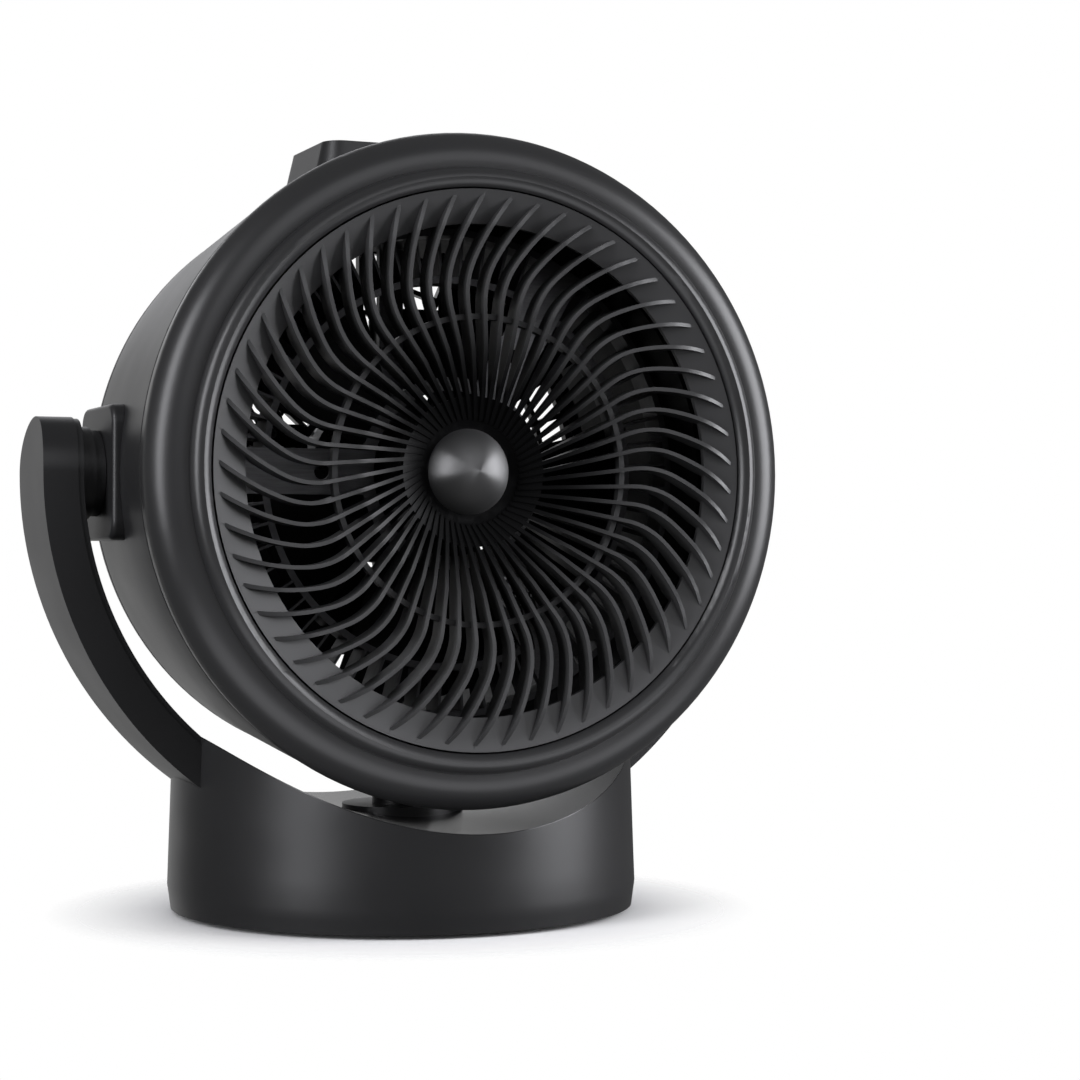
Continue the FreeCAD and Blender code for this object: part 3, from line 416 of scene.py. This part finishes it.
def screw(shape, place, look):
    # Pan head with a cross recess, as shares of its radius, height and cross
    radius, height = look["radius"], look["height"]
    profile = [(radius, 0), (radius, height * screwForm["wall"]),
               (radius * screwForm["shoulderRadius"], height * screwForm["shoulder"]),
               (radius * screwForm["crownRadius"], height)]
    crest = lathe(shape, profile, place, closed=False)[-1]
    arm = look["cross"]
    half = arm * screwForm["armWidth"]
    cross = [(arm, -half), (arm, half), (half, half), (half, arm), (-half, arm), (-half, half),
             (-arm, half), (-arm, -half), (-half, -half), (-half, -arm), (half, -arm), (half, -half)]
    narrow, floorHeight = screwForm["pitShare"], height * screwForm["pitFloor"]
    rim = [shape.verts.new(place @ Vector((x, y, height))) for x, y in cross]
    pit = [shape.verts.new(place @ Vector((x * narrow, y * narrow, floorHeight))) for x, y in cross]
    loops = []
    for loop in (crest, rim):
        for k in range(len(loop)):
            ends = (loop[k], loop[(k + 1) % len(loop)])
            loops.append(shape.edges.get(ends) or shape.edges.new(ends))
    bmesh.ops.bridge_loops(shape, edges=loops)
    bridge(shape, rim, pit)
    shape.faces.new(pit)


def curvePoints(points, steps=8):
    # Smooth curve through the given points
    line = [Vector(p) for p in points]
    line = [line[0] * 2 - line[1]] + line + [line[-1] * 2 - line[-2]]
    path = []
    for a, b, c, d in zip(line, line[1:], line[2:], line[3:]):
        for k in range(steps):
            t = k / steps
            path.append(0.5 * (2 * b + (c - a) * t + (2 * a - 5 * b + 4 * c - d) * t ** 2
                               + (3 * b - a - 3 * c + d) * t ** 3))
    return path + [line[-2]]


def directionAt(path, index):
    return (path[min(index + 1, len(path) - 1)] - path[max(index - 1, 0)]).normalized()


def wire(shape, points, radius, sides=10):
    path = curvePoints(points)
    across = Vector((0.3, 0.2, 1)).normalized()  # any direction that no lead runs along
    turns = [360 * k / sides for k in range(sides)]
    last = None
    for index, point in enumerate(path):
        ahead = directionAt(path, index)
        across = (across - ahead * across.dot(ahead)).normalized()
        upward = ahead.cross(across)
        ring = [shape.verts.new(point + across * u + upward * v) for u, v in circlePoints(radius, turns)]
        if last:
            bridge(shape, last, ring)
        else:
            shape.faces.new(ring)
        last = ring
    shape.faces.new(last)


def stroke(shape, points, width, low, high):
    # A raised printed line through flat points
    line = [Vector((x, y, 0)) for x, y in points]
    left, right = [], []
    for index, point in enumerate(line):
        ahead = directionAt(line, index)
        side = Vector((-ahead.y, ahead.x, 0)) * width / 2
        left.append(point + side)
        right.append(point - side)
    edge = left + right[::-1]
    bottom = [shape.verts.new((p.x, p.y, low)) for p in edge]
    top = [shape.verts.new((p.x, p.y, high)) for p in edge]
    bridge(shape, bottom, top)
    for k in range(len(line) - 1):
        shape.faces.new((top[k], top[k + 1], top[-k - 2], top[-k - 1]))
        shape.faces.new((bottom[k], bottom[k + 1], bottom[-k - 2], bottom[-k - 1]))


# Key signs: lines in shares of each sign's reach

swing = {"drop": 0.35, "radius": 0.75, "start": 35, "end": 145,
         "barbAcross": 0.28, "barbLift": 0.02, "barbPast": 0.04, "barbUp": 0.3}


def swingSign():
    # A bow with an arrow head at each end
    bow = arc(0, -swing["drop"], swing["radius"], swing["start"], swing["end"])
    barbs = [[(x - side * swing["barbAcross"], y + swing["barbLift"]), (x, y),
              (x + side * swing["barbPast"], y + swing["barbUp"])]
             for (x, y), side in ((bow[0], 1), (bow[-1], -1))]
    return [bow] + barbs


bar = [(-0.5, 0), (0.5, 0)]
upright = [(0, -0.5), (0, 0.5)]
powerSign = [arc(0, 0, 0.5, 125, 415, 32), [(0, 0.12), (0, 0.68)]]
clockSign = [arc(0, 0, 0.55, 0, 360, 36), [(0, 0.36), (0, 0), (0.27, -0.14)]]
signLook = {"reach": 0.0052, "mainReach": 0.0064, "line": 0.00045, "rise": 0.00008, "sink": 0.0002}
for i, lines in enumerate((swingSign(), [bar], powerSign, [bar, upright], clockSign), 1):
    name = f"key_{i}"
    low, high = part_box(name)
    x, y = (low[0] + high[0]) / 2, (low[1] + high[1]) / 2
    reach = signLook["mainReach"] if name == "key_3" else signLook["reach"]
    shape = bmesh.new()
    for line in lines:
        stroke(shape, [(x + reach * u, y + reach * v) for u, v in line], signLook["line"],
               high[2] - signLook["sink"], high[2] + signLook["rise"])
    addPiece(f"keySign{i}", shape, printWhite, name)
print("key signs added")


# Wiring tray and motor capacitor, screwed to the lower and upper spokes of the motor spider

def spokeBox(name, look):
    thick, rise, depth = look["thick"], look["rise"], spokeRear + seatGap
    place = inHead(0, depth + thick, 0) @ faceFront
    width, height, lip = look["width"], look["height"], 2 * look["lip"]
    shape = bmesh.new()
    prism(shape, roundedOutline(look["x"], rise, width, height, look["corner"]), look["lid"], thick, place)
    prism(shape, roundedOutline(look["x"], rise, width + lip, height + lip, look["corner"]),
          0, look["lid"], place)
    for k in range(look["ribs"]):
        x = look["x"] + (k - (look["ribs"] - 1) / 2) * look["ribPitch"]
        rib = roundedOutline(x, rise, look["ribWidth"], height * look["ribShare"], look["ribCorner"], 3)
        prism(shape, rib, -look["ribRise"], look["ribSink"], place)
    for side in (-1, 1):
        ear = roundedOutline(look["earX"], rise + side * look["earRise"], look["earWidth"], look["earHeight"],
                             look["earCorner"])
        prism(shape, ear, thick - look["earThick"], thick, place)
    addPiece(name, shape, innerPaintedShade, "head", look["edge"])
    shape = bmesh.new()
    for side in (-1, 1):
        seat = inHead(look["earX"], depth + look["earThick"], rise + side * look["earRise"])
        screw(shape, seat @ faceRear, look["screw"])
    addPiece(name + "Screws", shape, shaftSteel, "head")


trayLook = {"x": -0.0235, "rise": -0.0625, "width": 0.044, "height": 0.041, "corner": 0.004, "thick": 0.024,
            "lid": 0.003, "lip": 0.0012, "edge": 0.0004,
            "ribs": 5, "ribPitch": 0.0072, "ribWidth": 0.0016, "ribShare": 0.76, "ribCorner": 0.0007,
            "ribRise": 0.0012, "ribSink": 0.0002,
            "earX": 0.0022, "earRise": 0.012, "earWidth": 0.0074, "earHeight": 0.009, "earCorner": 0.002,
            "earThick": 0.0022, "screw": {"radius": 0.0026, "height": 0.0016, "cross": 0.0014}}
capacitorLook = dict(trayLook, x=0.0165, rise=0.0635, width=0.036, height=0.036, corner=0.006, thick=0.021,
                     ribs=3, ribPitch=0.009, earX=-0.0022, earRise=0.011)
spokeBox("wiringTray", trayLook)
spokeBox("motorCapacitor", capacitorLook)


# Screw terminal strip above the left spoke

def terminalStrip(look):
    depth, thick, ways, pitch = spokeRear + seatGap, look["thick"], look["ways"], look["pitch"]
    place = inHead(look["x"], depth + thick, look["rise"]) @ faceFront
    shape = bmesh.new()
    block = roundedOutline(0, 0, pitch * ways + look["margin"], look["height"], look["corner"], 3)
    prism(shape, block, 0, thick, place)
    wallHeight = look["height"] * look["wallShare"]
    for k in range(ways + 1):
        wall = roundedOutline((k - ways / 2) * pitch, 0, look["wallWidth"], wallHeight, look["wallCorner"], 3)
        prism(shape, wall, thick - look["wallSink"], thick + look["wallRise"], place)
    tab = roundedOutline(0, -look["tabDrop"], look["tabWidth"], look["tabHeight"], look["tabCorner"], 3)
    prism(shape, tab, thick - look["tabThick"], thick, place)
    addPiece("terminalStrip", shape, innerPaintedShade, "head", look["edge"])
    shape = bmesh.new()
    for k in range(ways):
        x = look["x"] + (k - (ways - 1) / 2) * pitch
        for side in (-1, 1):
            seat = inHead(x, depth + look["screwSink"], look["rise"] + side * look["screwRise"])
            screw(shape, seat @ faceFront, look["screw"])
    addPiece("terminalScrews", shape, shaftSteel, "head")


stripLook = {"x": -0.058, "rise": 0.0165, "pitch": 0.0105, "ways": 3, "margin": 0.0016, "height": 0.017,
             "thick": 0.009, "corner": 0.0012, "edge": 0.0003,
             "wallWidth": 0.0014, "wallShare": 0.9, "wallCorner": 0.0006, "wallSink": 0.001,
             "wallRise": 0.004, "tabDrop": 0.0105, "tabWidth": 0.012, "tabHeight": 0.0056,
             "tabCorner": 0.0015, "tabThick": 0.0024, "screwRise": 0.0042, "screwSink": 0.0002,
             "screw": {"radius": 0.0027, "height": 0.0018, "cross": 0.0016}}
terminalStrip(stripLook)
print("tray, capacitor and terminals added")

# Leads in pairs between terminals, tray, capacitor, motor, heater and controls: points across, back and up
leadLook = {"radius": 0.0012, "spread": 0.003, "lean": 0.3}
leadRuns = {
    "motorLeads": [(-0.032, 0.146, -0.0425), (-0.0375, 0.155, -0.037), (-0.029, 0.1648, -0.024),
                   (-0.0165, 0.1648, -0.014), (-0.0135, 0.161, -0.0115)],
    "trayLeads": [(-0.0565, 0.133, 0.0085), (-0.056, 0.134, -0.009), (-0.0525, 0.136, -0.031),
                  (-0.049, 0.139, -0.05), (-0.0448, 0.141, -0.056)],
    "heaterLeads": [(-0.064, 0.133, 0.0245), (-0.075, 0.14, 0.045), (-0.092, 0.147, 0.066),
                    (-0.1, 0.148, 0.073), (-0.0965, 0.134, 0.0715)],
    "capacitorLeads": [(0.03, 0.1445, 0.0455), (0.0365, 0.153, 0.036), (0.03, 0.1648, 0.022),
                       (0.0165, 0.1648, 0.013), (0.0135, 0.161, 0.011)],
    "controlLeads": [(-0.0525, 0.133, 0.0245), (-0.059, 0.141, 0.05), (-0.047, 0.147, 0.085),
                     (-0.023, 0.149, 0.112), (-0.013, 0.147, 0.123), (-0.011, 0.139, 0.127)],
}
for name, run in leadRuns.items():
    shape = bmesh.new()
    for side in (-0.5, 0.5):
        shift = side * leadLook["spread"]
        wire(shape, [headPoint(x + shift, depth, rise + leadLook["lean"] * shift) for x, depth, rise in run],
             leadLook["radius"])
    addPiece(name, shape, padRubber, "head")


# Thermal cut-out on the heater frame, with two tabs and its leads

def thermalCutout(look, run):
    place = inHead(look["x"], heaterFront, look["rise"]) @ faceFront
    flange, can, height = look["flange"], look["can"], look["height"]
    shape = bmesh.new()
    profile = [(flange, 0), (flange, look["flangeThick"]), (can, look["canFoot"]),
               (can, height - look["crown"]), (can * look["crownShare"], height)]
    lathe(shape, profile, place, 40)
    for side in (-1, 1):
        tab = roundedOutline(side * look["tabReach"], 0, look["tabThick"], look["tabWidth"],
                             look["tabCorner"], 2)
        prism(shape, tab, height - look["tabSink"], height + look["tabRise"], place)
    addPiece("thermalCutout", shape, shaftSteel, "head", look["edge"])
    shape = bmesh.new()
    for side in (-1, 1):
        start = look["x"] + side * look["tabReach"]
        points = [headPoint(start + x, depth, look["rise"] + rise) for x, depth, rise in run]
        wire(shape, points, look["lead"])
    addPiece("cutoutLeads", shape, padRubber, "head")


cutoutLook = {"x": 0.0305, "rise": -0.0528, "flange": 0.0088, "flangeThick": 0.0008, "can": 0.0072,
              "canFoot": 0.0011, "height": 0.0056, "crown": 0.0008, "crownShare": 0.9, "edge": 0.0002,
              "tabReach": 0.0038, "tabThick": 0.0008, "tabWidth": 0.005, "tabCorner": 0.0003,
              "tabSink": 0.0004, "tabRise": 0.0042, "lead": 0.0011}
cutoutRun = [(0, 0.036, 0), (0.003, 0.0365, -0.0092), (0.009, 0.04, -0.0192), (0.013, 0.0455, -0.0262)]
thermalCutout(cutoutLook, cutoutRun)

# Screws of the rear disc
rearScrew = {"radius": 0.0036, "height": 0.002, "cross": 0.002, "circle": 0.027, "turns": (90, 210, 330)}
shape = bmesh.new()
for x, rise in circlePoints(rearScrew["circle"], rearScrew["turns"]):
    screw(shape, inHead(x, rearFace, rise) @ faceRear, rearScrew)
addPiece("rearScrews", shape, motorPaint, "head")

# Screws of the motor spider, two on each side spoke
spiderScrew = {"radius": 0.003, "height": 0.0018, "cross": 0.0017, "across": (0.05, -0.05, 0.09, -0.09)}
shape = bmesh.new()
for x in spiderScrew["across"]:
    screw(shape, inHead(x, spokeRear, 0) @ faceRear, spiderScrew)
addPiece("spiderScrews", shape, shaftSteel, "head")

# Screws under the foot plate
footScrew = {"radius": 0.0036, "height": 0.0009, "cross": 0.002, "circle": 0.058, "turns": (0, 90, 180, 270)}
shape = bmesh.new()
for x, y in circlePoints(footScrew["circle"], footScrew["turns"]):
    screw(shape, Matrix.Translation((x, y, footUnder)) @ faceDown, footScrew)
addPiece("footScrews", shape, shaftSteel, "foot")

# Raised ring on the rear disc
ringLook = {"inner": 0.0335, "outer": 0.0355, "rise": 0.0007, "wallShare": 0.6, "slope": 0.0005,
            "sink": 0.0004}
wallTop = ringLook["rise"] * ringLook["wallShare"]
profile = [(ringLook["inner"], -ringLook["sink"]), (ringLook["inner"], wallTop),
           (ringLook["inner"] + ringLook["slope"], ringLook["rise"]),
           (ringLook["outer"] - ringLook["slope"], ringLook["rise"]),
           (ringLook["outer"], wallTop), (ringLook["outer"], -ringLook["sink"])]
shape = bmesh.new()
rings = lathe(shape, profile, inHead(0, rearFace, 0) @ faceRear, 64, False)
bridge(shape, rings[-1], rings[0])
addPiece("rearRing", shape, rearBlack, "head")

# Printed frame on the control panel
low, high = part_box("control_panel")
borderLook = {"inset": 0.0022, "corner": 0.002, "line": 0.0003, "rise": 0.00006, "sink": 0.0002}
border = roundedOutline((low[0] + high[0]) / 2, (low[1] + high[1]) / 2,
                        high[0] - low[0] - 2 * borderLook["inset"],
                        high[1] - low[1] - 2 * borderLook["inset"], borderLook["corner"])
shape = bmesh.new()
stroke(shape, border + border[:1], borderLook["line"], high[2] - borderLook["sink"],
       high[2] + borderLook["rise"])
addPiece("panelFrame", shape, printWhite, "head")
print("leads, cut-out, screws and panel print added")


# Stage: soft boxes round the heater and a high ceiling light

lampColor = (0.955, 0.96, 1.0)


def softBox(name, look):
    data = bpy.data.lights.new(name, "AREA")
    data.shape = "RECTANGLE"
    data.size = look["width"]
    data.size_y = look["height"]
    data.energy = look["watts"]
    data.color = lampColor
    lamp = bpy.data.objects.new(name, data)
    lamp.visible_glossy = look.get("mirrored", True)
    around = math.radians(look["around"])
    place = Vector((math.sin(around) * look["away"], -math.cos(around) * look["away"], look["lift"]))
    lamp.location = place
    lamp.rotation_euler = (Vector((0, 0, look["aim"])) - place).to_track_quat("-Z", "Y").to_euler()
    scene.collection.objects.link(lamp)
    return lamp


lamps = {
    "leftBox": {"around": -67, "away": 1.6, "lift": 0.65, "aim": 0.25, "width": 0.65, "height": 1.4,
                "watts": 22},
    "rightBox": {"around": 60, "away": 1.6, "lift": 0.48, "aim": 0.25, "width": 1.0, "height": 1.06,
                 "watts": 28},
    "frontBox": {"around": 8, "away": 2.6, "lift": 1.5, "aim": 0.2, "width": 2.4, "height": 1.6,
                 "watts": 15},
    "rearBox": {"around": 172, "away": 2.2, "lift": 1.3, "aim": 0.2, "width": 1.6, "height": 1.2,
                "watts": 5},
    "ceiling": {"around": 0, "away": 0.0001, "lift": 2.6, "aim": 0, "width": 3.2, "height": 3.2,
                "watts": 33, "mirrored": False},
}
for name, look in lamps.items():
    softBox(name, look)

# White card on the floor in front, turned up, which lights the underside of the bezel alone
floorCard = {"around": 0, "away": 0.3, "lift": 0.002, "aim": 0, "width": 0.6, "height": 0.26, "watts": 0.8}
card = softBox("floorCard", floorCard)
card.rotation_euler = (math.pi, 0, 0)
card.visible_camera = False
lit = bpy.data.collections.new("bezelOnly")
lit.objects.link(nodes["bezel_ring"])
card.light_linking.receiver_collection = lit


# Surround: white to the camera, dim with a bright back wall to the surfaces

def studioWorld(look):
    world = bpy.data.worlds.new("studio")
    scene.world = world
    world.use_nodes = True
    tree = world.node_tree
    tree.nodes.clear()
    toward = tree.nodes.new("ShaderNodeSeparateXYZ")
    tree.links.new(tree.nodes.new("ShaderNodeTexCoord").outputs["Generated"], toward.inputs["Vector"])
    glow = rangeNode(tree, toward.outputs["Y"], look["dim"], look["bright"],
                     look["fadeStart"], look["fadeEnd"])
    room = tree.nodes.new("ShaderNodeBackground")
    room.inputs["Color"].default_value = look["color"]
    tree.links.new(glow, room.inputs["Strength"])
    white = tree.nodes.new("ShaderNodeBackground")
    white.inputs["Color"].default_value = look["color"]
    white.inputs["Strength"].default_value = 1.0
    path = tree.nodes.new("ShaderNodeLightPath")
    mix = tree.nodes.new("ShaderNodeMixShader")
    out = tree.nodes.new("ShaderNodeOutputWorld")
    tree.links.new(path.outputs["Is Camera Ray"], mix.inputs["Fac"])
    tree.links.new(room.outputs["Background"], mix.inputs[1])
    tree.links.new(white.outputs["Background"], mix.inputs[2])
    tree.links.new(mix.outputs["Shader"], out.inputs["Surface"])


studioWorld({"color": (1, 1, 1, 1), "dim": 0.12, "bright": 0.7, "fadeStart": 0.84, "fadeEnd": 0.97})


# Floor: a pale disc that fades into the white surround

def paleFloor(look):
    mat, tree, shader = newMaterial("paleFloor")
    shader.inputs["Base Color"].default_value = look["color"]
    shader.inputs["Roughness"].default_value = look["rough"]
    shader.inputs["Specular IOR Level"].default_value = look["specular"]
    clear = tree.nodes.new("ShaderNodeBsdfTransparent")
    blend = tree.nodes.new("ShaderNodeMixShader")
    reach = vectorNode(tree, "LENGTH", objectCoords(tree)).outputs["Value"]
    tree.links.new(rangeNode(tree, reach, 0, 1, look["fadeStart"], look["fadeEnd"]), blend.inputs["Fac"])
    tree.links.new(shader.outputs["BSDF"], blend.inputs[1])
    tree.links.new(clear.outputs["BSDF"], blend.inputs[2])
    out = next(node for node in tree.nodes if node.type == "OUTPUT_MATERIAL")
    tree.links.new(blend.outputs["Shader"], out.inputs["Surface"])
    return mat


sweep = {"radius": 1.0, "segments": 96, "fadeStart": 0.108, "fadeEnd": 0.165, "color": (0.96, 0.96, 0.96, 1),
         "rough": 0.9, "specular": 0.1}
shape = bmesh.new()
bmesh.ops.create_circle(shape, cap_ends=True, segments=sweep["segments"], radius=sweep["radius"])
floorMesh = bpy.data.meshes.new("floor")
shape.to_mesh(floorMesh)
shape.free()
floorMesh.materials.append(paleFloor(sweep))
floor = bpy.data.objects.new("floor", floorMesh)
scene.collection.objects.link(floor)
floor.visible_glossy = False

# Camera at the photographed angle, its focal length in pixels of the picture
view = {"sensor": 36.0, "focalPixels": 2525.0, "picturePixels": 1080.0, "near": 0.05,
        "place": (-0.4096, -1.1145, 0.1625), "pitch": 90.446, "turn": -23.307}
cameraData = bpy.data.cameras.new("camera")
cameraData.sensor_width = view["sensor"]
cameraData.lens = view["sensor"] * view["focalPixels"] / view["picturePixels"]
cameraData.clip_start = view["near"]
camera = bpy.data.objects.new("camera", cameraData)
camera.location = view["place"]
camera.rotation_euler = (math.radians(view["pitch"]), 0, math.radians(view["turn"]))
scene.collection.objects.link(camera)
scene.camera = camera
scene.view_settings.view_transform = "Standard"
print("stage and camera set")
